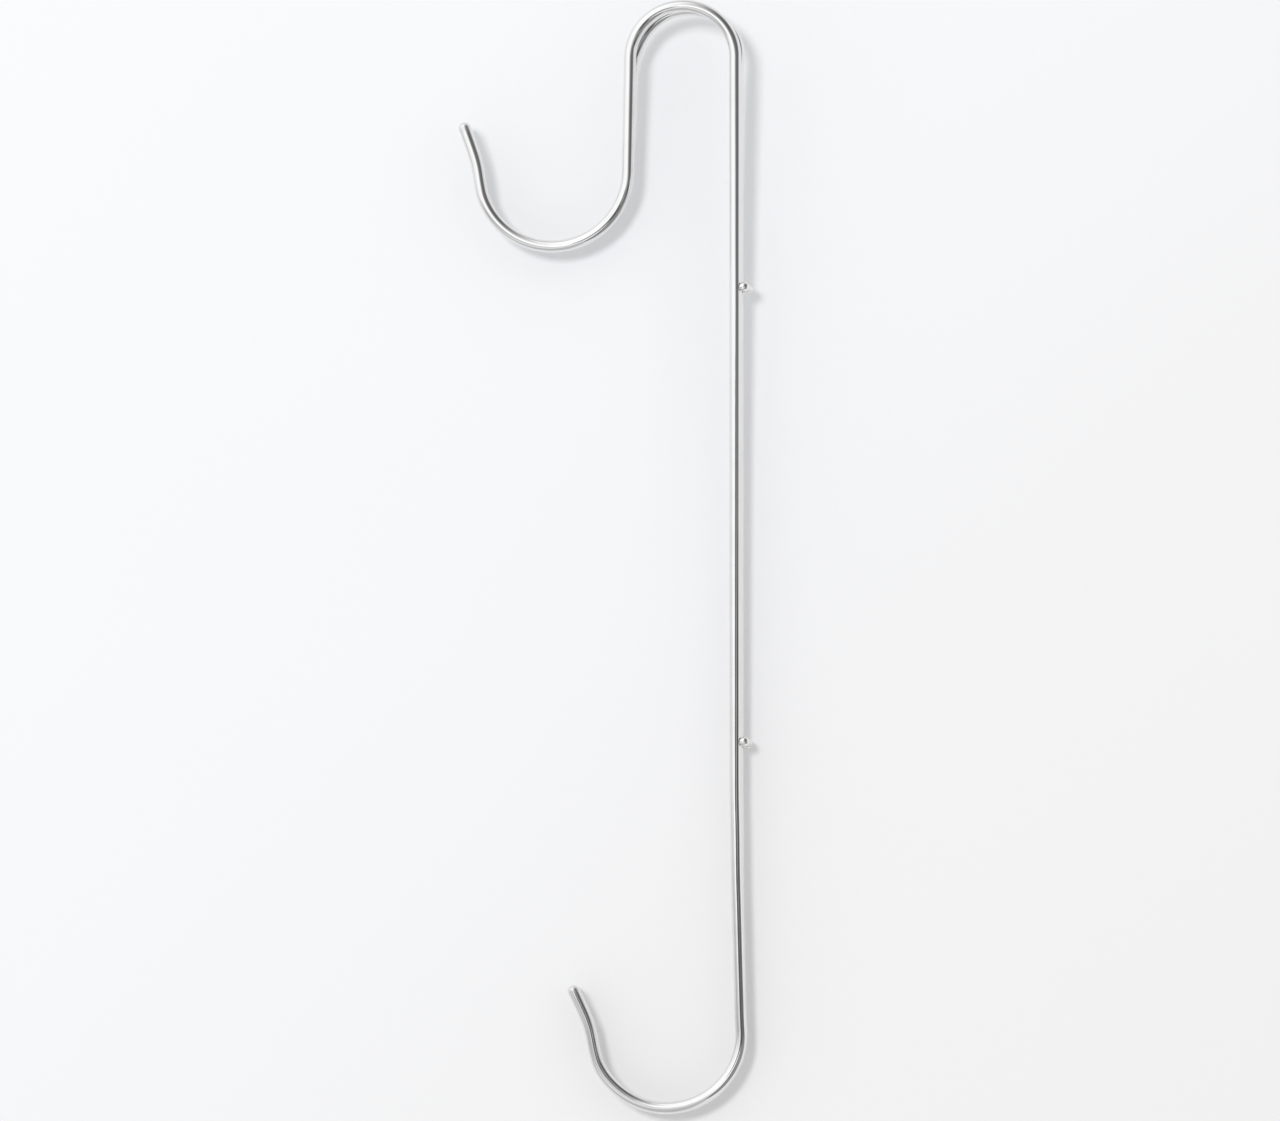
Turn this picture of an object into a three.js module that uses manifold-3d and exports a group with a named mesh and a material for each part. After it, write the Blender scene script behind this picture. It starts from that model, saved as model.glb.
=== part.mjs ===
// A double hook: two matching lengths of round steel wire, side by side, joined by two welded cross
// bars. An arch at the top drops over a rail. Its short leg turns up into the upper hook, and its
// long shank runs down to the lower hook. Millimetres, +Z up, +X towards the shank, +Y backwards.
// The origin is the underside of the arch's crown, midway between the two rods.
import * as THREE from 'three';
import { mergeVertices } from 'three/addons/utils/BufferGeometryUtils.js';
import Module from 'manifold-3d';

const wasm = await Module();
wasm.setup();

// The wire and the distance between the two rods, centre to centre
const wireDiameter = 6.0;
const rodSpacing = 10.0;

// The arch over the rail, and the short leg that leans under it
const archRadius = 25.9;
const legLength = 56.2;
const legLean = 1.1;

// Each hook: a bowl, then a flare that turns the wire's end outwards, then a straight to the tip
const upperHook = { bowlRadius: 36.9, bowlTurn: 176.1, flareRadius: 30.8, flareTurn: 17.0, tipLength: 16.0 };
const lowerHook = { bowlRadius: 36.4, bowlTurn: 175.8, flareRadius: 22.4, flareTurn: 19.2, tipLength: 19.7 };

// The shank, from the arch down to the upper bar, the lower bar and a slight bend that leans the
// rest of it outwards, and from there to the bowl
const archToUpperBar = 113.3;
const barPitch = 223.9;
const lowerBarToLean = 21.0;
const leanRadius = 560.0;
const leanTurn = 1.5;
const leanToBowl = 106.4;

// The half ball that rounds each tip, a touch slimmer than the wire, and its root inside the wire
const tipDiameter = 5.8;
const tipRoot = 3.0;

// The cross bars, and the clearance that the welds close
const barDiameter = 3.6;
const barDome = 1.7;
const weldGap = 0.3;

// How finely round things are faceted: sides of the wire, degrees of bend for each ring
const wireSides = 16;
const degreesPerRing = 7.5;
const tipRings = 5;
const domeRings = 5;

const wireRadius = wireDiameter / 2;
const tipRadius = tipDiameter / 2;
const barRadius = barDiameter / 2;
const barLength = rodSpacing + wireDiameter;

const polishedSteel = () => new THREE.MeshStandardMaterial({
  color: 0xd6d8da, roughness: 0.12, metalness: 1.0,
});

// Where a run of wire goes from a place and a heading: a ring at the end of each straight, and one
// for every few degrees of each bend. A positive turn is anticlockwise, seen from the front.
function ringsAlong(place, heading, runs) {
  const rings = [];
  const at = { x: place.x, z: place.z, heading: THREE.MathUtils.degToRad(heading) };
  const drop = () => rings.push({
    place: new THREE.Vector3(at.x, 0, at.z),
    tangent: new THREE.Vector3(Math.cos(at.heading), 0, Math.sin(at.heading)),
  });
  for (const run of runs) {
    if (run.length) {
      at.x += run.length * Math.cos(at.heading);
      at.z += run.length * Math.sin(at.heading);
      drop();
      continue;
    }
    const count = Math.max(1, Math.ceil(Math.abs(run.turn) / degreesPerRing));
    const turn = THREE.MathUtils.degToRad(run.turn) / count;
    const chord = 2 * run.radius * Math.sin(Math.abs(turn) / 2);
    for (let i = 0; i < count; i += 1) {
      at.x += chord * Math.cos(at.heading + turn / 2);
      at.z += chord * Math.sin(at.heading + turn / 2);
      at.heading += turn;
      drop();
    }
  }
  return rings;
}

// A curve that steps from ring to ring, so that bends are fine and straights are one long facet
class WirePath extends THREE.Curve {
  constructor(rings) {
    super();
    this.rings = rings;
  }

  ringAt(share) {
    return this.rings[Math.round(share * (this.rings.length - 1))];
  }

  getPointAt(share, target = new THREE.Vector3()) {
    return target.copy(this.ringAt(share).place);
  }

  getTangentAt(share, target = new THREE.Vector3()) {
    return target.copy(this.ringAt(share).tangent);
  }
}

// The whole wire's rings, from the upper tip over the arch to the lower tip
function wireRings() {
  const crown = { x: 0, z: wireRadius };
  const hookRuns = (hook) => [
    { radius: hook.bowlRadius, turn: -hook.bowlTurn },
    { radius: hook.flareRadius, turn: hook.flareTurn },
    { length: hook.tipLength },
  ];
  const shortSide = ringsAlong(crown, 180, [
    { radius: archRadius, turn: 90 - legLean },
    { length: legLength },
    ...hookRuns(upperHook),
  ]);
  const longSide = ringsAlong(crown, 0, [
    { radius: archRadius, turn: -90 },
    { length: archToUpperBar },
    { length: barPitch },
    { length: lowerBarToLean },
    { radius: leanRadius, turn: leanTurn },
    { length: leanToBowl },
    ...hookRuns(lowerHook),
  ]);
  const inward = shortSide.reverse().map(({ place, tangent }) => ({ place, tangent: tangent.negate() }));
  const top = { place: new THREE.Vector3(crown.x, 0, crown.z), tangent: new THREE.Vector3(1, 0, 0) };
  return [...inward, top, ...longSide];
}

function circlePoints(radius, sides) {
  return Array.from({ length: sides }, (_, i) => {
    const angle = (2 * Math.PI * i) / sides;
    return new THREE.Vector2(radius * Math.cos(angle), radius * Math.sin(angle));
  });
}

function solidFrom(geometry) {
  const bare = geometry.index ? geometry.toNonIndexed() : geometry.clone();
  bare.deleteAttribute('normal');
  bare.deleteAttribute('uv');
  const merged = mergeVertices(bare);
  return new wasm.Manifold(new wasm.Mesh({
    numProp: 3,
    vertProperties: new Float32Array(merged.attributes.position.array),
    triVerts: new Uint32Array(merged.index.array),
  }));
}

function geometryFrom(solid) {
  const { vertProperties, triVerts } = solid.getMesh();
  const geometry = new THREE.BufferGeometry();
  geometry.setAttribute('position', new THREE.BufferAttribute(vertProperties, 3));
  geometry.setIndex(new THREE.BufferAttribute(triVerts, 1));
  geometry.computeVertexNormals();
  return geometry;
}

// The rounded tip, turned about its own Y axis with the ball's centre at zero: a root inside the
// wire, and the half ball that stands out of its end
function tipGeometry() {
  const profile = [new THREE.Vector2(0, -tipRoot), new THREE.Vector2(tipRadius, -tipRoot)];
  for (let i = 0; i < tipRings; i += 1) {
    const angle = (Math.PI / 2) * (i / tipRings);
    profile.push(new THREE.Vector2(tipRadius * Math.cos(angle), tipRadius * Math.sin(angle)));
  }
  profile.push(new THREE.Vector2(0, tipRadius));
  return new THREE.LatheGeometry(profile, wireSides);
}

// A tip on a ring, with its axis along the wire's outward direction
function tipSolid(place, outward) {
  const depth = new THREE.Vector3(0, 1, 0);
  const across = new THREE.Vector3().crossVectors(outward, depth);
  const pose = new THREE.Matrix4().makeBasis(across, outward, depth).setPosition(place);
  return solidFrom(tipGeometry().applyMatrix4(pose));
}

// One bent rod with both tips, in the plane y = 0
function rodGeometry() {
  const rings = wireRings();
  const section = new THREE.Shape(circlePoints(wireRadius, wireSides));
  const wire = new THREE.ExtrudeGeometry(section, {
    steps: rings.length - 1, extrudePath: new WirePath(rings), bevelEnabled: false,
  });
  const first = rings[0];
  const last = rings[rings.length - 1];
  const rod = solidFrom(wire)
    .add(tipSolid(first.place, first.tangent.clone().negate()))
    .add(tipSolid(last.place, last.tangent));
  return geometryFrom(rod);
}

// One cross bar, turned about the Y axis, with a rounded end each way
function barGeometry() {
  const shoulder = barLength / 2 - barDome;
  const end = [];
  for (let i = 0; i < domeRings; i += 1) {
    const angle = (Math.PI / 2) * (i / domeRings);
    end.push(new THREE.Vector2(barRadius * Math.cos(angle), shoulder + barDome * Math.sin(angle)));
  }
  end.push(new THREE.Vector2(0, shoulder + barDome));
  const start = end.map((point) => new THREE.Vector2(point.x, -point.y)).reverse();
  return new THREE.LatheGeometry([...start, ...end], wireSides);
}

function addPiece(group, name, geometry, x, y, z) {
  const piece = new THREE.Mesh(geometry, polishedSteel());
  piece.name = name;
  piece.position.set(x, y, z);
  group.add(piece);
}

const hook = new THREE.Group();

// The two rods stand side by side, half the spacing to each side of the middle
addPiece(hook, 'front_rod', rodGeometry(), 0, -rodSpacing / 2, 0);
addPiece(hook, 'rear_rod', rodGeometry(), 0, rodSpacing / 2, 0);

// The bars lie across the backs of both shanks
const barX = archRadius + wireRadius + weldGap + barRadius;
const upperBarZ = wireRadius - archRadius - archToUpperBar;
addPiece(hook, 'upper_cross_bar', barGeometry(), barX, 0, upperBarZ);
addPiece(hook, 'lower_cross_bar', barGeometry(), barX, 0, upperBarZ - barPitch);

export default hook;
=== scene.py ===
"""A double hook of polished round steel wire, hung flat against a pale wall in soft daylight."""
import math

import bpy
import numpy as np
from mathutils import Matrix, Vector


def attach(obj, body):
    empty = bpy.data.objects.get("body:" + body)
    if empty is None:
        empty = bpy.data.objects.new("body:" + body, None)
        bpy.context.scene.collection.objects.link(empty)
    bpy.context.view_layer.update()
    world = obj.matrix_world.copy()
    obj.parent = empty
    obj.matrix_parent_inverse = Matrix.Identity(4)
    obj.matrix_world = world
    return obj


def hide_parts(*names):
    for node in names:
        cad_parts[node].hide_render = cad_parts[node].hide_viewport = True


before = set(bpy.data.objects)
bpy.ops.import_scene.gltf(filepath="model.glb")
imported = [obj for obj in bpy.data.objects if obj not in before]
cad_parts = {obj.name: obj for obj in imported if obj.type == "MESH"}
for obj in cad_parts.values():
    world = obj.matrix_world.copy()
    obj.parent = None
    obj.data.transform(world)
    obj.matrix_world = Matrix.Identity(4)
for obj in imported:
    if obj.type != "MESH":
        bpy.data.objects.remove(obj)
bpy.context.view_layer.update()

MM = 0.001

# Sizes as in the part's source, in mm and degrees
WIRE_RADIUS = 3.0
ROD_SPACING = 10.0
ARCH_RADIUS = 25.9
LEG_LENGTH, LEG_LEAN = 56.2, 1.1
UPPER_HOOK = dict(bowl=36.9, bowl_turn=176.1, flare=30.8, flare_turn=17.0, tip=16.0)
LOWER_HOOK = dict(bowl=36.4, bowl_turn=175.8, flare=22.4, flare_turn=19.2, tip=19.7)
ARCH_TO_UPPER_BAR, BAR_PITCH, BAR_TO_LEAN = 113.3, 223.9, 21.0
LEAN_RADIUS, LEAN_TURN, LEAN_TO_BOWL = 560.0, 1.5, 106.4
TIP_RADIUS = 2.9
BAR_RADIUS = 1.8
WELD_GAP = 0.3

# Hand bending, read from the photo, in mm: how far the wire lies from the part's line
SHANK_BOW = 0.38
FLARE_EASE, EASED_FULLY, EASED_NO_MORE = 4.5, 8, 16
BELOW_LOWER_FLARE, ABOVE_LOWER_FLARE = -0.65, 0.35
REAR_ASIDE, REAR_ARCH_ASIDE, REAR_ARCH_LESS, REAR_HOOK_ASIDE = -0.4, 2.1, -0.6, -0.9
REAR_ARCH_ABOVE, REAR_HOOK_ABOVE = -0.8, 1.0

# Where each of these fades in or out, in mm: from the first x to the second
TO_SHANK_SIDE, ACROSS_ARCH = (-14, 12), (-5, 20)
LOWER_TIP_SIDE, UPPER_TIP_SIDE = -30, -60
# and from the first height to the second
UP_TO_ARCH, DOWN_TO_UPPER_HOOK, DOWN_TO_LOWER_HOOK = (-34, -8), (-44, -76), (-375, -470)
DOWN_TO_LEAN, UP_FROM_LOWER_BOWL = (-395, -430), (-515, -492)
UP_TO_LOWER_FLARE, DOWN_TO_LOWER_FLARE, UP_TO_LOWER_TIP = (-534, -520), (-494, -512), (-504, -490)
LOWER_TIP_TOP = -470

# What is left of the drawing die, in mm and radians: out of round, and how that turns along the wire
OUT_OF_ROUND, TURN_PER_MM, TURN_SWING, SWING_LENGTH = 0.010, 0.011, 1.7, 61

# Where a rail and rings rub, in mm, and how squarely the skin there faces them
RUBBED_HEIGHT, RUBBED_REACH = (-2, 3), (-18, -8)
UPPER_BOWL_RUBBED, UPPER_BOWL_SIDE, LOWER_BOWL_RUBBED = (-106, -110), -35, (-531, -535)
RUBBED_FACING = (0.55, 0.95)
GROUND_LENGTH = 5.0

# The cross bars in their welds, and the welds, in mm
BAR_HALF, BAR_EDGE, BAR_FACE = ROD_SPACING / 2 + 1.4, 0.4, 0.6
KNOB_HALF_X, KNOB_HALF_Y, KNOB_HALF_Z, KNOB_ROUND = 2.6, 2.2, 2.35, 2.4
KNOB_INWARD, KNOB_FROM_MIDDLE, KNOB_SWELL = 0.8, 5.9, 0.02

BAR_X = ARCH_RADIUS + WIRE_RADIUS + WELD_GAP + BAR_RADIUS + SHANK_BOW
UPPER_BAR_Z = WIRE_RADIUS - ARCH_RADIUS - ARCH_TO_UPPER_BAR
LOWER_BAR_Z = UPPER_BAR_Z - BAR_PITCH
FRONT_Y, REAR_Y = -ROD_SPACING / 2, ROD_SPACING / 2

# How finely round things are drawn
WIRE_SIDES, BAR_SIDES, KNOB_SIDES = 64, 48, 48
TIP_RINGS, EDGE_RINGS, BAR_RINGS, KNOB_RINGS = 16, 9, 22, 33
DEGREES_PER_RING = 1.5
RINGS_PER_MM, FLARE_RINGS_PER_MM, SHORT_STRAIGHT = 0.5, 2, 20


def smoothstep(low, high, value):
    """0 below low and 1 above high, with an S-shaped rise 3t^2 - 2t^3 in between."""
    t = np.clip((value - low) / (high - low), 0, 1)
    return t * t * (3 - 2 * t)


def walk(heading, runs):
    """The line from the arch's crown along a row of runs, each a straight's length or a bend's radius and
    its turn. A straight is x + s cos h and z + s sin h. A bend of radius r turns the heading by s / r and
    moves the place by the chord 2 r sin(turn / 2) along the mean heading. Rows of x, z and heading."""
    place, h = np.array([0.0, WIRE_RADIUS]), math.radians(heading)
    lines = []
    for size, turn in runs:
        if turn is None:
            rings = round(size * (FLARE_RINGS_PER_MM if size < SHORT_STRAIGHT else RINGS_PER_MM))
            share = np.linspace(0, 1, max(2, rings) + 1)[1:]
            angle = np.full_like(share, h)
            chord, mean = size * share, angle
        else:
            full = math.radians(turn)
            share = np.linspace(0, 1, max(2, round(abs(turn) / DEGREES_PER_RING)) + 1)[1:]
            angle = h + full * share
            chord, mean = 2 * size * np.sin(abs(full) * share / 2), h + full * share / 2
        x, z = place[0] + chord * np.cos(mean), place[1] + chord * np.sin(mean)
        lines.append(np.stack([x, z, angle], axis=1))
        place, h = np.array([x[-1], z[-1]]), angle[-1]
    return np.concatenate(lines)


def wire_path():
    """The wire's middle line from the upper tip to the lower tip, as x, z, heading and length so far. Each
    flare is eased: up to 8 mm from its middle, and fading out at 16 mm, the line is its own mean, weighted
    by exp(-d^2 / 2e^2), where d is the length away and e is 4.5 mm."""
    def hook_runs(hook):
        return [(hook["bowl"], -hook["bowl_turn"]), (hook["flare"], hook["flare_turn"]), (hook["tip"], None)]

    def tip_to_flare(hook):
        return hook["tip"] + hook["flare"] * math.radians(hook["flare_turn"]) / 2

    short_side = [(ARCH_RADIUS, 90 - LEG_LEAN), (LEG_LENGTH, None), *hook_runs(UPPER_HOOK)]
    long_side = [
        (ARCH_RADIUS, -90), (ARCH_TO_UPPER_BAR + BAR_PITCH + BAR_TO_LEAN, None),
        (LEAN_RADIUS, LEAN_TURN), (LEAN_TO_BOWL, None), *hook_runs(LOWER_HOOK),
    ]
    inward = walk(180, short_side)[::-1] + [0, 0, math.pi]
    outward = walk(0, long_side) + [0, 0, 2 * math.pi]
    line = np.concatenate([inward, [[0, WIRE_RADIUS, 2 * math.pi]], outward])
    step = np.hypot(*np.diff(line[:, :2], axis=0).T)
    s = np.concatenate([[0], np.cumsum(step)])

    from_flare = np.minimum(abs(s - tip_to_flare(UPPER_HOOK)), abs(s - s[-1] + tip_to_flare(LOWER_HOOK)))
    weight = np.exp(-((s[:, None] - s[None, :]) / FLARE_EASE) ** 2 / 2) * np.gradient(s)[None, :]
    mean = weight @ line / weight.sum(axis=1)[:, None]
    line = line + smoothstep(EASED_NO_MORE, EASED_FULLY, from_flare)[:, None] * (mean - line)
    return line[:, 0], line[:, 1], line[:, 2], s


def bow(x, z):
    """How far both rods lie to the right of the part's line: 0.38 mm along the shank and the right side of
    the lower bowl, less 0.38 mm where the shank leans, and 0 from the arch's left side to the upper tip.
    S-curves bring it to -0.65 mm below the lower flare and to 0.35 mm above it."""
    lean = smoothstep(*DOWN_TO_LEAN, z) * smoothstep(*UP_FROM_LOWER_BOWL, z)
    shank = SHANK_BOW * smoothstep(*TO_SHANK_SIDE, x) * (1 - lean)
    below = BELOW_LOWER_FLARE * smoothstep(*UP_TO_LOWER_FLARE, z) * smoothstep(*DOWN_TO_LOWER_FLARE, z)
    above = ABOVE_LOWER_FLARE * smoothstep(*UP_TO_LOWER_TIP, z)
    at_lower_tip = (x < LOWER_TIP_SIDE) & (z < LOWER_TIP_TOP)
    return shank + np.where(at_lower_tip, above + below, 0.0)


def by_hand(x, z):
    """How far the rear rod lies from the front one's line, as x and z shifts. Its arch stands 1.7 mm to the
    right on the left, 1.1 mm on the right, and 0.8 mm lower. S-curves bring it to 0.4 mm left along the
    leg and the shank, and to 1.3 mm left and 1 mm higher in both hooks."""
    arch = smoothstep(*UP_TO_ARCH, z)
    hook = np.where(x < 0, smoothstep(*DOWN_TO_UPPER_HOOK, z), smoothstep(*DOWN_TO_LOWER_HOOK, z))
    hook = np.where(x < UPPER_TIP_SIDE, 1.0, hook)
    arch_aside = REAR_ARCH_ASIDE + REAR_ARCH_LESS * smoothstep(*ACROSS_ARCH, x)
    aside = REAR_ASIDE + arch_aside * arch + REAR_HOOK_ASIDE * hook
    return aside, REAR_ARCH_ABOVE * arch + REAR_HOOK_ABOVE * hook


def grid_mesh(name, points, uv, facts=None):
    """A closed skin over a grid of rings: points[i, j] is place j on ring i, in mm. Neighbouring rings are
    joined by quads, and the first and last ring, which are points, by fans. Faces point outwards when the
    places run anticlockwise as seen from the end of the line."""
    rings, sides = points.shape[:2]
    body = points[1:-1].reshape(-1, 3)
    verts = np.concatenate([points[:1, 0], body, points[-1:, 0]]) * MM
    i, j = np.meshgrid(np.arange(rings - 3), np.arange(sides), indexing="ij")
    k = (j + 1) % sides

    def at(ring, place):
        return 1 + ring * sides + place

    quads = np.stack([at(i, j), at(i, k), at(i + 1, k), at(i + 1, j)], axis=-1).reshape(-1, 4)
    side = np.arange(sides)
    after = (side + 1) % sides
    start = np.stack([np.zeros(sides, int), at(0, after), at(0, side)], axis=-1)
    last = len(verts) - 1
    end = np.stack([np.full(sides, last), at(rings - 3, side), at(rings - 3, after)], axis=-1)
    corners = np.concatenate([quads.ravel(), start.ravel(), end.ravel()])
    sizes = np.concatenate([np.full(len(quads), 4), np.full(2 * sides, 3)])

    mesh = bpy.data.meshes.new(name)
    mesh.vertices.add(len(verts))
    mesh.vertices.foreach_set("co", verts.ravel().astype(np.float32))
    mesh.loops.add(len(corners))
    mesh.loops.foreach_set("vertex_index", corners.astype(np.int32))
    mesh.polygons.add(len(sizes))
    mesh.polygons.foreach_set("loop_start", (np.cumsum(sizes) - sizes).astype(np.int32))
    mesh.polygons.foreach_set("use_smooth", np.ones(len(sizes), bool))
    mesh.update(calc_edges=True)

    # The map is in mm: across the skin first, along it second. The seam keeps its far edge.
    around, along = uv
    wide = np.concatenate([around, [2 * around[-1] - around[-2]]])

    def corner(across, ring):
        return np.stack(np.broadcast_arrays(wide[across], along[ring]), -1)

    quad_uv = [corner(j, i + 1), corner(j + 1, i + 1), corner(j + 1, i + 2), corner(j, i + 2)]
    start_uv = [corner(side, 0), corner(side + 1, 1), corner(side, 1)]
    end_uv = [corner(side, -1), corner(side, -2), corner(side + 1, -2)]
    skin = [np.stack(quad_uv, axis=2), np.stack(start_uv, axis=1), np.stack(end_uv, axis=1)]
    layer = mesh.uv_layers.new(name="skin_mm")
    layer.data.foreach_set("uv", np.concatenate([part.ravel() for part in skin]).astype(np.float32))

    for fact, values in (facts or {}).items():
        spread = np.concatenate([values[:1, 0], values[1:-1].ravel(), values[-1:, 0]])
        mesh.attributes.new(fact, "FLOAT", "POINT").data.foreach_set("value", spread.astype(np.float32))
    mesh.validate()
    piece = bpy.data.objects.new(name, mesh)
    bpy.context.scene.collection.objects.link(piece)
    return piece


def bent_wire(name, y, seed, shift=None):
    """One rod: a circle of radius r carried along the wire's path, centre + r (cos a * normal - sin a * Y).
    Past each end ring, r falls as 3 cos b while the length grows as 2.9 sin b, which rounds the end. Drawn
    wire is never quite round, so r also varies by e cos 2(a - a0), where e is 0.01 mm and a0 turns slowly
    along the wire."""
    x, z, h, s = wire_path()
    aside, above = shift(x, z) if shift else (0.0, 0.0)
    x, z = x + bow(x, z) + aside, z + above
    b = np.linspace(0, np.pi / 2, TIP_RINGS + 1)[1:]
    past = TIP_RADIUS * np.sin(b)
    first = x[0] - past * np.cos(h[0]), z[0] - past * np.sin(h[0]), np.full_like(b, h[0])
    last = x[-1] + past * np.cos(h[-1]), z[-1] + past * np.sin(h[-1]), np.full_like(b, h[-1])
    x, z, h = (np.concatenate([f[::-1], m, e]) for f, m, e in zip(first, (x, z, h), last))
    along = np.concatenate([-(TIP_RADIUS * b)[::-1], s, s[-1] + TIP_RADIUS * b])
    taper = np.concatenate([np.cos(b)[::-1], np.ones_like(s), np.cos(b)])
    taper[[0, -1]] = 0

    angle = 2 * np.pi * np.arange(WIRE_SIDES) / WIRE_SIDES
    twist = TURN_PER_MM * along + TURN_SWING * np.sin(along / SWING_LENGTH + seed) + seed
    uneven = OUT_OF_ROUND * np.cos(2 * (angle[None, :] - twist[:, None]))
    radius = taper[:, None] * (WIRE_RADIUS + uneven)

    centre = np.stack([x, np.full_like(x, y), z], axis=1)
    normal = np.stack([-np.sin(h), np.zeros_like(h), np.cos(h)], axis=1)
    across = np.cos(angle)[None, :, None] * normal[:, None, :]
    depth = np.sin(angle)[None, :, None] * np.array([0.0, 1.0, 0.0])
    points = centre[:, None, :] + radius[..., None] * (across - depth)

    # Where a rail rubs under the arch and rings rub in the bowls: 1 on the line of contact
    under_arch = smoothstep(*RUBBED_HEIGHT, z) * smoothstep(*RUBBED_REACH, -np.abs(x))
    in_upper = smoothstep(*UPPER_BOWL_RUBBED, z) * (x < UPPER_BOWL_SIDE)
    in_lower = smoothstep(*LOWER_BOWL_RUBBED, z)
    facing = normal[:, 2][:, None] * np.cos(angle)[None, :]
    rub = under_arch[:, None] * smoothstep(*RUBBED_FACING, -facing)
    rub = rub + (in_upper + in_lower)[:, None] * smoothstep(*RUBBED_FACING, facing)
    # Where the ends were ground round: 1 on the half balls, 0 from 5 mm along the wire
    from_end = np.minimum(along, s[-1] - along)
    ground = smoothstep(GROUND_LENGTH, 0.0, from_end)[:, None] * np.ones(WIRE_SIDES)
    return grid_mesh(name, points, (WIRE_RADIUS * angle, along), {"rub": rub, "ground": ground})


def round_bar(name, z):
    """A cross bar: a cylinder of radius 1.8 about Y that ends inside the weld at each side. A quarter turn
    of radius 0.4 rounds its edge, and a flat face closes it."""
    b = np.linspace(0, np.pi / 2, EDGE_RINGS)
    end_r = np.concatenate([BAR_RADIUS - BAR_EDGE + BAR_EDGE * np.cos(b), [BAR_FACE, 0.0]])
    end_y = BAR_HALF - BAR_EDGE + np.concatenate([BAR_EDGE * np.sin(b), [BAR_EDGE, BAR_EDGE]])
    middle = np.linspace(-end_y[0], end_y[0], BAR_RINGS)[1:-1]
    y = np.concatenate([-end_y[::-1], middle, end_y])
    radius = np.concatenate([end_r[::-1], np.full_like(middle, BAR_RADIUS), end_r])
    angle = 2 * np.pi * np.arange(BAR_SIDES) / BAR_SIDES
    points = np.stack([
        BAR_X + radius[:, None] * np.cos(angle)[None, :],
        np.broadcast_to(y[:, None], (len(y), BAR_SIDES)),
        z - radius[:, None] * np.sin(angle)[None, :],
    ], axis=-1)
    return grid_mesh(name, points, (BAR_RADIUS * angle, y))


def weld_knob(name, y, z):
    """The weld that runs over a bar's end and joins it to a rod, ground to a knob: an ellipsoid about Y
    with half axes 2.6, 2.2 and 2.35, whose radius swells by 2 percent as sin 3p + cos 2b, where p is the
    angle around and b the angle along it. Its outer side is 8.1 mm from the middle."""
    p = 2 * np.pi * np.arange(KNOB_SIDES) / KNOB_SIDES
    b = np.linspace(-np.pi / 2, np.pi / 2, KNOB_RINGS)[:, None]
    swell = KNOB_SWELL * (np.sin(3 * p + z + y)[None, :] + np.cos(2 * b + y))
    radius = np.cos(b) * (1 + swell * np.cos(b))
    radius[[0, -1]] = 0
    points = np.stack([
        BAR_X - KNOB_INWARD + KNOB_HALF_X * radius * np.cos(p),
        np.broadcast_to(math.copysign(KNOB_FROM_MIDDLE, y) + KNOB_HALF_Y * np.sin(b), radius.shape),
        z - KNOB_HALF_Z * radius * np.sin(p),
    ], axis=-1)
    return grid_mesh(name, points, (KNOB_ROUND * p, KNOB_HALF_Y * b[:, 0]))


def linear(code):
    """The linear colour of an sRGB hex code."""
    value = np.array([int(code[i:i + 2], 16) for i in (0, 2, 4)]) / 255
    return tuple(np.where(value <= 0.04045, value / 12.92, ((value + 0.055) / 1.055) ** 2.4)) + (1.0,)


class Maker:
    """A material or world being built. node() adds a node, sets it up and links it."""

    def __init__(self, owner):
        owner.use_nodes = True
        self.tree = owner.node_tree
        self.tree.nodes.clear()

    def node(self, kind, inputs=None, stops=None, **settings):
        made = self.tree.nodes.new(kind)
        for name, value in settings.items():
            setattr(made, name, value)
        for key, value in (inputs or {}).items():
            if isinstance(value, bpy.types.NodeSocket):
                self.tree.links.new(value, made.inputs[key])
            else:
                made.inputs[key].default_value = value
        if stops:
            ramp = made.color_ramp
            while len(ramp.elements) > 2:
                ramp.elements.remove(ramp.elements[-1])
            for i, (at, colour) in enumerate(stops):
                element = ramp.elements[i] if i < 2 else ramp.elements.new(at)
                element.position, element.color = at, colour
        return made


# Patterns in the steel: cells to the metre on Object coordinates, and cells to the mm across and along
# the skin's own map
MOP_WAVES = 110.0                  # 9 mm long
HAZE_PATCHES = 80.0                # 12 mm wide
DIE_LINES = (5.0, 0.04, 1.0)       # 0.2 mm apart and 25 mm long, twice as wide as real so that they show
HAIRLINES = (6.0, 0.5, 1.0)        # 0.17 mm apart and 2 mm long, at a slant of 1.1 radians
WELD_RIPPLES = 1600.0              # 0.6 mm apart

# How much roughness each adds where it is strongest
HAZE_ROUGH, DIE_ROUGH, GROUND_ROUGH = 0.04, 0.02, 0.26


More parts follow.
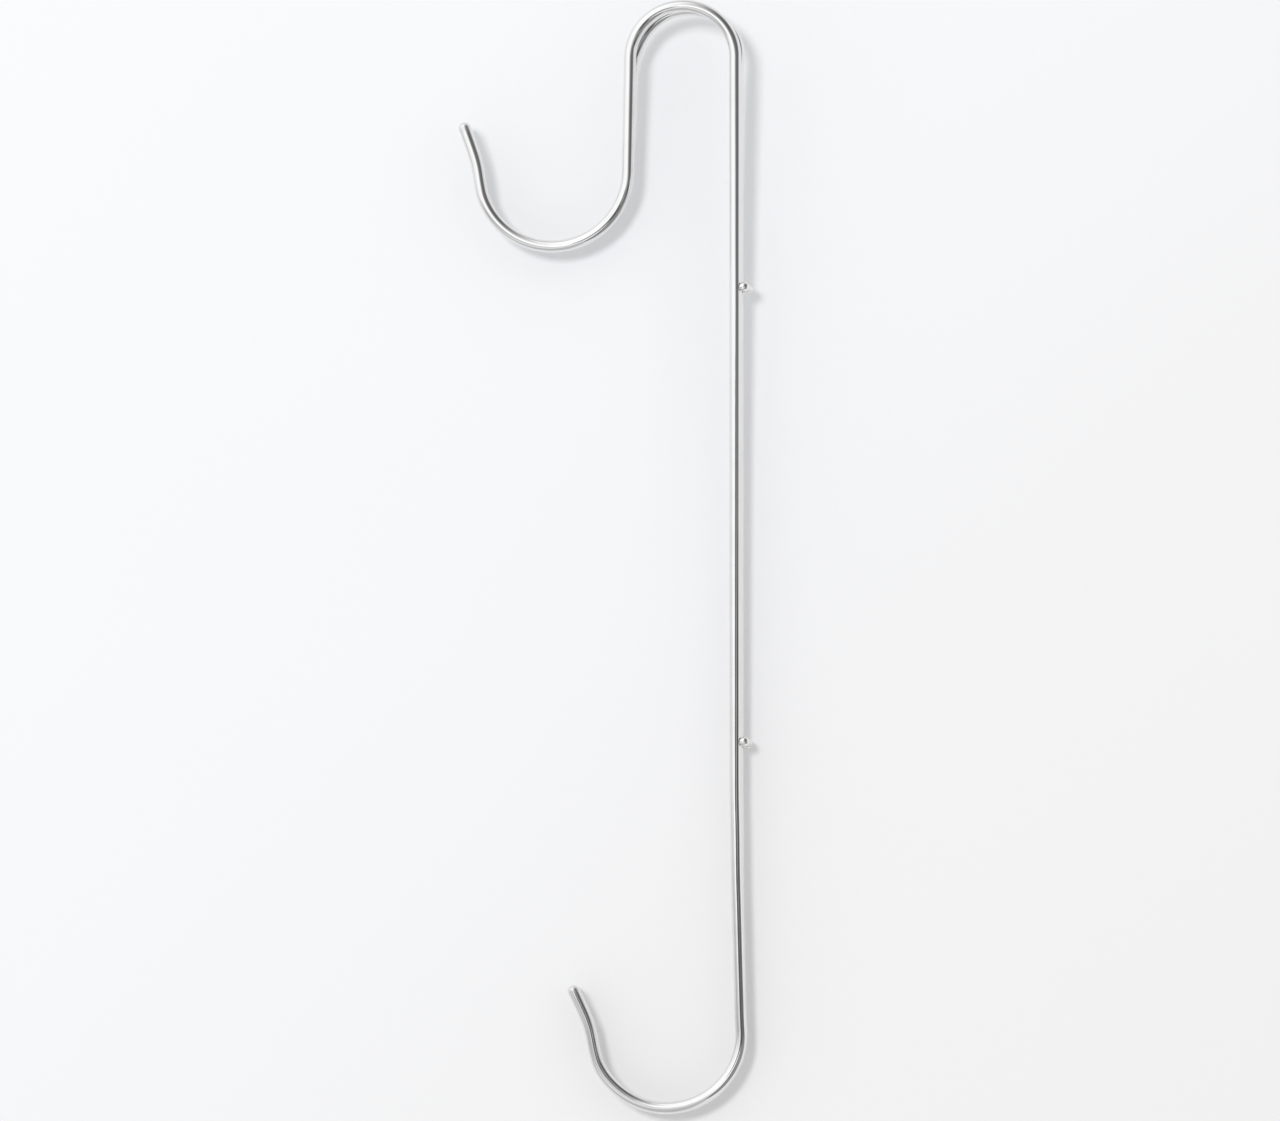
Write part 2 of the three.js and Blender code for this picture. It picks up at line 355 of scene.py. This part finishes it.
def polished_steel(name, tone, roughness, rubbed):
    """Stainless wire, drawn through a die and then polished bright. It mirrors the room. The die leaves
    faint lines along it, the polish a slow unevenness about 9 mm long, and handling a thin haze in patches
    about 12 mm wide that widens the shine a little."""
    steel = bpy.data.materials.new(name)
    m = Maker(steel)
    skin = m.node("ShaderNodeUVMap", uv_map="skin_mm").outputs["UV"]
    place = m.node("ShaderNodeTexCoord").outputs["Object"]

    drawn = m.node("ShaderNodeMapping", {"Vector": skin, "Scale": DIE_LINES})
    lines = m.node("ShaderNodeTexNoise", {
        "Vector": drawn.outputs[0], "Scale": 1.0, "Detail": 3.0, "Roughness": 0.6,
    }, noise_dimensions="2D")
    waves = m.node("ShaderNodeTexNoise", {"Vector": place, "Scale": MOP_WAVES, "Detail": 1.0})
    haze = m.node("ShaderNodeTexNoise", {
        "Vector": place, "Scale": HAZE_PATCHES, "Detail": 4.0, "Roughness": 0.55,
    })
    hazy = m.node("ShaderNodeMapRange", {
        "Value": haze.outputs[0], "From Min": 0.45, "From Max": 0.72, "To Min": 0.0, "To Max": 1.0,
    }, interpolation_type="SMOOTHSTEP")
    # Hairline scratches where rings and the rail rub
    slant = m.node("ShaderNodeMapping", {"Vector": skin, "Rotation": (0, 0, 1.1), "Scale": HAIRLINES})
    hair = m.node("ShaderNodeTexNoise", {"Vector": slant.outputs[0], "Scale": 1.0, "Detail": 2.0},
                  noise_dimensions="2D")
    hairs = m.node("ShaderNodeMapRange", {"Value": hair.outputs[0], "From Min": 0.56, "From Max": 0.66},
                   interpolation_type="SMOOTHSTEP")
    rub = m.node("ShaderNodeAttribute", attribute_name="rub").outputs["Fac"]
    scuffed = m.node("ShaderNodeMath", {0: hairs.outputs[0], 1: rub}, operation="MULTIPLY").outputs[0]
    # The rounded ends were ground by hand and are satin
    ground = m.node("ShaderNodeAttribute", attribute_name="ground").outputs["Fac"]

    rough = roughness
    for pattern, added in ((hazy.outputs[0], HAZE_ROUGH), (lines.outputs[0], DIE_ROUGH),
                           (scuffed, rubbed), (ground, GROUND_ROUGH)):
        rough = m.node("ShaderNodeMath", {0: pattern, 1: added, 2: rough},
                       operation="MULTIPLY_ADD").outputs[0]

    # The polish is a touch brighter in the die lines' crests, and duller under the haze
    bright = m.node("ShaderNodeMix", {
        "Factor": lines.outputs[0], "A": linear(tone[0]), "B": linear(tone[1]),
    }, data_type="RGBA")
    worn = m.node("ShaderNodeMath", {0: hazy.outputs[0], 1: 0.35}, operation="MULTIPLY")
    colour = m.node("ShaderNodeMix", {
        "Factor": worn.outputs[0], "A": bright.outputs["Result"], "B": linear(tone[2]),
    }, data_type="RGBA")

    fine = m.node("ShaderNodeBump", {"Height": lines.outputs[0], "Strength": 0.25, "Distance": 0.00001})
    slow = m.node("ShaderNodeBump", {
        "Height": waves.outputs[0], "Strength": 0.6, "Distance": 0.00006, "Normal": fine.outputs[0],
    })
    scratch = m.node("ShaderNodeBump", {
        "Height": scuffed, "Strength": 0.3, "Distance": 0.00001, "Normal": slow.outputs[0],
    })
    shader = m.node("ShaderNodeBsdfPrincipled", {
        "Base Color": colour.outputs["Result"], "Metallic": 1.0, "Roughness": rough,
        "Normal": scratch.outputs[0],
    })
    m.node("ShaderNodeOutputMaterial", {"Surface": shader.outputs[0]})
    return steel


def welded_steel(name):
    """A weld ground round and run over with the mop: nearly as bright as the wire, with soft ripples and
    a trace of the straw tint left by the heat."""
    steel = bpy.data.materials.new(name)
    m = Maker(steel)
    place = m.node("ShaderNodeTexCoord").outputs["Object"]
    ripple = m.node("ShaderNodeTexNoise", {"Vector": place, "Scale": WELD_RIPPLES, "Detail": 1.0})
    tint = m.node("ShaderNodeMix", {
        "Factor": ripple.outputs[0], "A": linear("efeeeb"), "B": linear("f6f6f5"),
    }, data_type="RGBA")
    rough = m.node("ShaderNodeMapRange", {"Value": ripple.outputs[0], "To Min": 0.12, "To Max": 0.20})
    lumps = m.node("ShaderNodeBump", {"Height": ripple.outputs[0], "Strength": 0.12, "Distance": 0.00006})
    shader = m.node("ShaderNodeBsdfPrincipled", {
        "Base Color": tint.outputs["Result"], "Metallic": 1.0, "Roughness": rough.outputs[0],
        "Normal": lumps.outputs[0],
    })
    m.node("ShaderNodeOutputMaterial", {"Surface": shader.outputs[0]})
    return steel


wire_steel = polished_steel("drawn_wire_polished_stainless", ("e6e6e6", "edecec", "dddddc"), 0.035, 0.16)
bar_steel = polished_steel("turned_bar_polished_stainless", ("e4e4e4", "ebebeb", "dadada"), 0.040, 0.10)
weld_steel = welded_steel("weld_bead_polished_over")


def finish_piece(piece, material, slot, *nodes):
    """Gives a piece its steel and its body, and hides the solids that it stands for. The slot argument is
    not used.
    """
    piece.data.materials.append(material)
    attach(piece, "root")
    if nodes:
        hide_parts(*nodes)


# The rear rod was bent by hand to match the front one, and it does so to a millimetre or two
finish_piece(bent_wire("front_wire", FRONT_Y, 0.6), wire_steel, "rod_steel", "front_rod")
finish_piece(bent_wire("rear_wire", REAR_Y, 2.9, by_hand), wire_steel, "rod_steel", "rear_rod")
finish_piece(round_bar("upper_bar", UPPER_BAR_Z), bar_steel, "bar_steel", "upper_cross_bar")
finish_piece(round_bar("lower_bar", LOWER_BAR_Z), bar_steel, "bar_steel", "lower_cross_bar")
for level, height in (("upper", UPPER_BAR_Z), ("lower", LOWER_BAR_Z)):
    for side, depth in (("front", FRONT_Y), ("rear", REAR_Y)):
        finish_piece(weld_knob(f"weld_{side}_{level}", depth, height), weld_steel, "bar_steel")


# The camera stands far off, a little to the right of the hook and a little below it, and looks up at it.
CAMERA_YAW, CAMERA_PITCH, CAMERA_DISTANCE = math.radians(8.184), math.radians(-5.743), 15.378
MM_PER_PIXEL, VIEW_WIDTH, FILM_WIDTH = 0.48995, 1280, 36.0
LOOK_AT = Vector((-21.673, 0.0, -269.690)) * MM


def towards(right, up):
    """The unit direction from the hook towards an angle to the right and up, in radians."""
    return Vector((math.sin(right) * math.cos(up), -math.cos(right) * math.cos(up), math.sin(up)))


back = towards(CAMERA_YAW, CAMERA_PITCH)
lens = bpy.data.cameras.new("camera")
lens.sensor_width = FILM_WIDTH
lens.lens = FILM_WIDTH * CAMERA_DISTANCE / (VIEW_WIDTH * MM_PER_PIXEL * MM)
lens.clip_start, lens.clip_end = 1.0, 40.0
camera = bpy.data.objects.new("camera", lens)
camera.location = LOOK_AT + back * CAMERA_DISTANCE
camera.rotation_mode = "QUATERNION"
camera.rotation_quaternion = (-back).to_track_quat("-Z", "Y")
bpy.context.scene.collection.objects.link(camera)
bpy.context.scene.camera = camera


# The sheet behind the hook, in mm
SHEET_HALF, SHEET_X, SHEET_Z = 1400.0, -20, -270
SHEET_COLUMNS, SHEET_ROWS = 113, 225
SHEET_GAP, SHEET_RISE, RISE_FROM, RISE_OVER, RISE_TOP = 13.6, 16.9, -485, 440, 215
NEARER_AT_LEFT, TO_ARCH_LEFT, UP_THE_SHEET = 8.0, (22, -27), (-300, -150)
PAINT_SPECKLE = 900.0              # cells to the metre, 1.1 mm apart


def wall():
    """A sheet behind the hook. Behind the shank it is at y = 13.6 + 16.9 t^3, where t is 0 at the lower
    hook and grows by 1 for each 440 mm of height. An S-curve brings it 8 mm nearer to the left of the
    arch. Rows and columns lie closer together near the middle, as 0.3 u + 0.7 u^3."""
    u, v = np.meshgrid(np.linspace(-1, 1, SHEET_COLUMNS), np.linspace(-1, 1, SHEET_ROWS), indexing="ij")
    x = SHEET_X + SHEET_HALF * (0.3 * u + 0.7 * u ** 3)
    z = SHEET_Z + SHEET_HALF * (0.3 * v + 0.7 * v ** 3)
    y = SHEET_GAP + SHEET_RISE * ((np.clip(z, RISE_FROM, RISE_TOP) - RISE_FROM) / RISE_OVER) ** 3
    y = y - NEARER_AT_LEFT * smoothstep(*TO_ARCH_LEFT, x) * smoothstep(*UP_THE_SHEET, z)
    verts = np.stack([x, y, z], axis=-1).reshape(-1, 3) * MM
    i, j = np.meshgrid(np.arange(SHEET_COLUMNS - 1), np.arange(SHEET_ROWS - 1), indexing="ij")
    at = SHEET_ROWS * i + j
    faces = np.stack([at, at + SHEET_ROWS, at + SHEET_ROWS + 1, at + 1], axis=-1).reshape(-1, 4)
    mesh = bpy.data.meshes.new("wall")
    mesh.from_pydata(verts.tolist(), [], faces.tolist())
    mesh.polygons.foreach_set("use_smooth", np.ones(len(faces), bool))
    made = bpy.data.objects.new("wall", mesh)
    bpy.context.scene.collection.objects.link(made)
    return made


def wall_paint():
    """Matt white paint whose colour carries painted light: a shade bluer and lighter at the upper left,
    where the daylight comes from, and darker towards the lower right. It is seen from its front only, so
    that the hook can be looked at from behind."""
    paint = bpy.data.materials.new("matt_white_with_painted_daylight_falloff")
    m = Maker(paint)
    place = m.node("ShaderNodeTexCoord").outputs["Object"]
    # 0 at the upper left corner of the view, 1 at the lower right corner
    away = m.node("ShaderNodeVectorMath", {0: place, 1: (0.850, 0.0, -0.850)}, operation="DOT_PRODUCT")
    fall = m.node("ShaderNodeMath", {0: away.outputs["Value"], 1: 0.288}, operation="ADD")
    # Painted light: this ramp makes the wall lighter and bluer towards the daylight at the upper left and
    # darker towards the lower right
    tone = m.node("ShaderNodeValToRGB", {"Fac": fall.outputs[0]}, stops=[
        (0.0, linear("f8f9fb")), (0.42, linear("f5f6f8")), (0.66, linear("f2f2f3")), (1.0, linear("efefef")),
    ])
    speckle = m.node("ShaderNodeTexNoise", {"Vector": place, "Scale": PAINT_SPECKLE, "Detail": 3.0})
    orange_peel = m.node("ShaderNodeBump", {
        "Height": speckle.outputs[0], "Strength": 0.08, "Distance": 0.0001,
    })
    matt = m.node("ShaderNodeBsdfDiffuse", {
        "Color": tone.outputs["Color"], "Roughness": 0.0, "Normal": orange_peel.outputs[0],
    })
    behind = m.node("ShaderNodeNewGeometry").outputs["Backfacing"]
    clear = m.node("ShaderNodeBsdfTransparent")
    both = m.node("ShaderNodeMixShader", {0: behind, 1: matt.outputs[0], 2: clear.outputs[0]})
    m.node("ShaderNodeOutputMaterial", {"Surface": both.outputs[0]})
    return paint


backdrop = wall()
backdrop.data.materials.append(wall_paint())


# The tent that the steel mirrors: its radius in metres, and its faces around and from pole to pole
TENT_RADIUS, TENT_AROUND, TENT_DOWN = 1.3, 48, 24

# Its areas, towards degrees right and up, with the degrees of their core and of their soft edge. The first
# has a level outside it and a level in its core. The others multiply the level in their core.
LIT_CLOTH = (-34, 57, 60, 7, 0.97, 1.50)
TENT_AREAS = (
    (-32, 15, 52, 11, 1.60),       # the window at the left
    (39, 29, 17, 30, 0.18),        # the dark room at the upper right
    (6, -1, 11, 2, 0.16),          # the opening in front
    (20, -6, 4, 3, 0.05),          # the dark gap beside the opening
    (50, -25, 29, 3, 0.31),        # the dark floor at the lower right
    (-41, -46, 41, 11, 0.59),      # the floor at the lower left
    (-30, 41, 12, 42, 1.30),       # the window's glow on the cloth
    (-57, 58, 50, 49, 0.39),       # the cloth in shade at the far upper left
)


def tent_of_light():
    """A ball-shaped tent round the hook, which only the polished steel sees. x, y, z = R times a unit
    direction."""
    rings = TENT_DOWN - 1
    u, v = np.meshgrid(np.linspace(0, 2 * np.pi, TENT_AROUND + 1)[:-1],
                       np.linspace(0, np.pi, TENT_DOWN + 1)[1:-1], indexing="xy")
    ring = np.stack([np.sin(v) * np.cos(u), np.sin(v) * np.sin(u), np.cos(v)], axis=-1).reshape(-1, 3)
    verts = np.concatenate([ring, [[0, 0, 1], [0, 0, -1]]]) * TENT_RADIUS
    i, j = np.meshgrid(np.arange(rings - 1), np.arange(TENT_AROUND), indexing="ij")
    k = (j + 1) % TENT_AROUND
    here, below = TENT_AROUND * i, TENT_AROUND * (i + 1)
    quads = np.stack([here + j, below + j, below + k, here + k], axis=-1).reshape(-1, 4)
    j, k = j[0], k[0]
    last = TENT_AROUND * (rings - 1)
    caps = [*np.stack([np.full(TENT_AROUND, len(ring)), j, k], axis=-1).tolist(),
            *np.stack([np.full(TENT_AROUND, len(ring) + 1), last + k, last + j], axis=-1).tolist()]
    mesh = bpy.data.meshes.new("tent")
    mesh.from_pydata(verts.tolist(), [], [*quads.tolist(), *caps])
    made = bpy.data.objects.new("tent", mesh)
    bpy.context.scene.collection.objects.link(made)
    for kind in ("camera", "diffuse", "shadow", "transmission", "volume_scatter"):
        setattr(made, f"visible_{kind}", False)
    return made


def tent_cloth():
    """White cloth lit by a window at the upper left, with the dark room to the right showing through
    its opening. The back half mirrors the front half."""
    cloth = bpy.data.materials.new("tent_cloth")
    m = Maker(cloth)
    place = m.node("ShaderNodeTexCoord").outputs["Object"]
    unit = m.node("ShaderNodeVectorMath", {0: place}, operation="NORMALIZE").outputs[0]
    part = m.node("ShaderNodeSeparateXYZ", {0: unit})
    depth = m.node("ShaderNodeMath", {0: part.outputs[1]}, operation="ABSOLUTE")
    front = m.node("ShaderNodeMath", {0: depth.outputs[0], 1: -1.0}, operation="MULTIPLY")
    aim = m.node("ShaderNodeCombineXYZ", {
        0: part.outputs[0], 1: front.outputs[0], 2: part.outputs[2],
    }).outputs[0]

    def lobe(right, up, core, edge, first, last):
        """An area of the tent. It has last in its core and first outside its soft edge."""
        middle = towards(math.radians(right), math.radians(up))
        near = m.node("ShaderNodeVectorMath", {0: aim, 1: middle}, operation="DOT_PRODUCT")
        return m.node("ShaderNodeMapRange", {
            "Value": near.outputs["Value"], "From Min": math.cos(math.radians(core + edge)),
            "From Max": math.cos(math.radians(core)), "To Min": first, "To Max": last,
        }, interpolation_type="SMOOTHSTEP").outputs[0]

    level = lobe(*LIT_CLOTH)
    for right, up, core, edge, change in TENT_AREAS:
        area = lobe(right, up, core, edge, 1.0, change)
        level = m.node("ShaderNodeMath", {0: level, 1: area}, operation="MULTIPLY").outputs[0]
    glow = m.node("ShaderNodeEmission", {"Color": linear("ffffff"), "Strength": level})
    m.node("ShaderNodeOutputMaterial", {"Surface": glow.outputs[0]})
    cloth.cycles.emission_sampling = "NONE"
    return cloth


tent = tent_of_light()
tent.data.materials.append(tent_cloth())
tent.location = LOOK_AT


# Daylight on the wall, from a little to the left and a little above
LAMP_LEFT, LAMP_UP, LAMP_POWER, LAMP_SPREAD = 0.10, 0.10, 0.93, 10.0
sun = bpy.data.lights.new("window_light", "SUN")
sun.energy = LAMP_POWER
sun.angle = math.radians(LAMP_SPREAD)
lamp = bpy.data.objects.new("window_light", sun)
lamp.rotation_mode = "QUATERNION"
lamp.rotation_quaternion = Vector((LAMP_LEFT, 1.0, -LAMP_UP)).to_track_quat("-Z", "Y")
lamp.location = (-1.0, -2.0, 1.0)
lamp.visible_glossy = False
bpy.context.scene.collection.objects.link(lamp)

# The room lights the wall and the hook evenly, and what is seen past the wall is pale
ROOM_LEVEL = 0.727
world = bpy.data.worlds.new("pale_room")
bpy.context.scene.world = world
w = Maker(world)
ray = w.node("ShaderNodeLightPath").outputs
seen = w.node("ShaderNodeMath", {0: ray["Is Camera Ray"], 1: ray["Is Glossy Ray"]}, operation="MAXIMUM")
seen = w.node("ShaderNodeMath", {0: seen.outputs[0], 1: ray["Is Transmission Ray"]}, operation="MAXIMUM")
fill = w.node("ShaderNodeBackground", {"Color": linear("ffffff"), "Strength": ROOM_LEVEL})
pale = w.node("ShaderNodeBackground", {"Color": linear("f7f8f9"), "Strength": 1.0})
both = w.node("ShaderNodeMixShader", {0: seen.outputs[0], 1: fill.outputs[0], 2: pale.outputs[0]})
w.node("ShaderNodeOutputWorld", {"Surface": both.outputs[0]})
world.cycles.sampling_method = "NONE"

bpy.context.scene.view_settings.view_transform = "Standard"

bpy.context.view_layer.update()
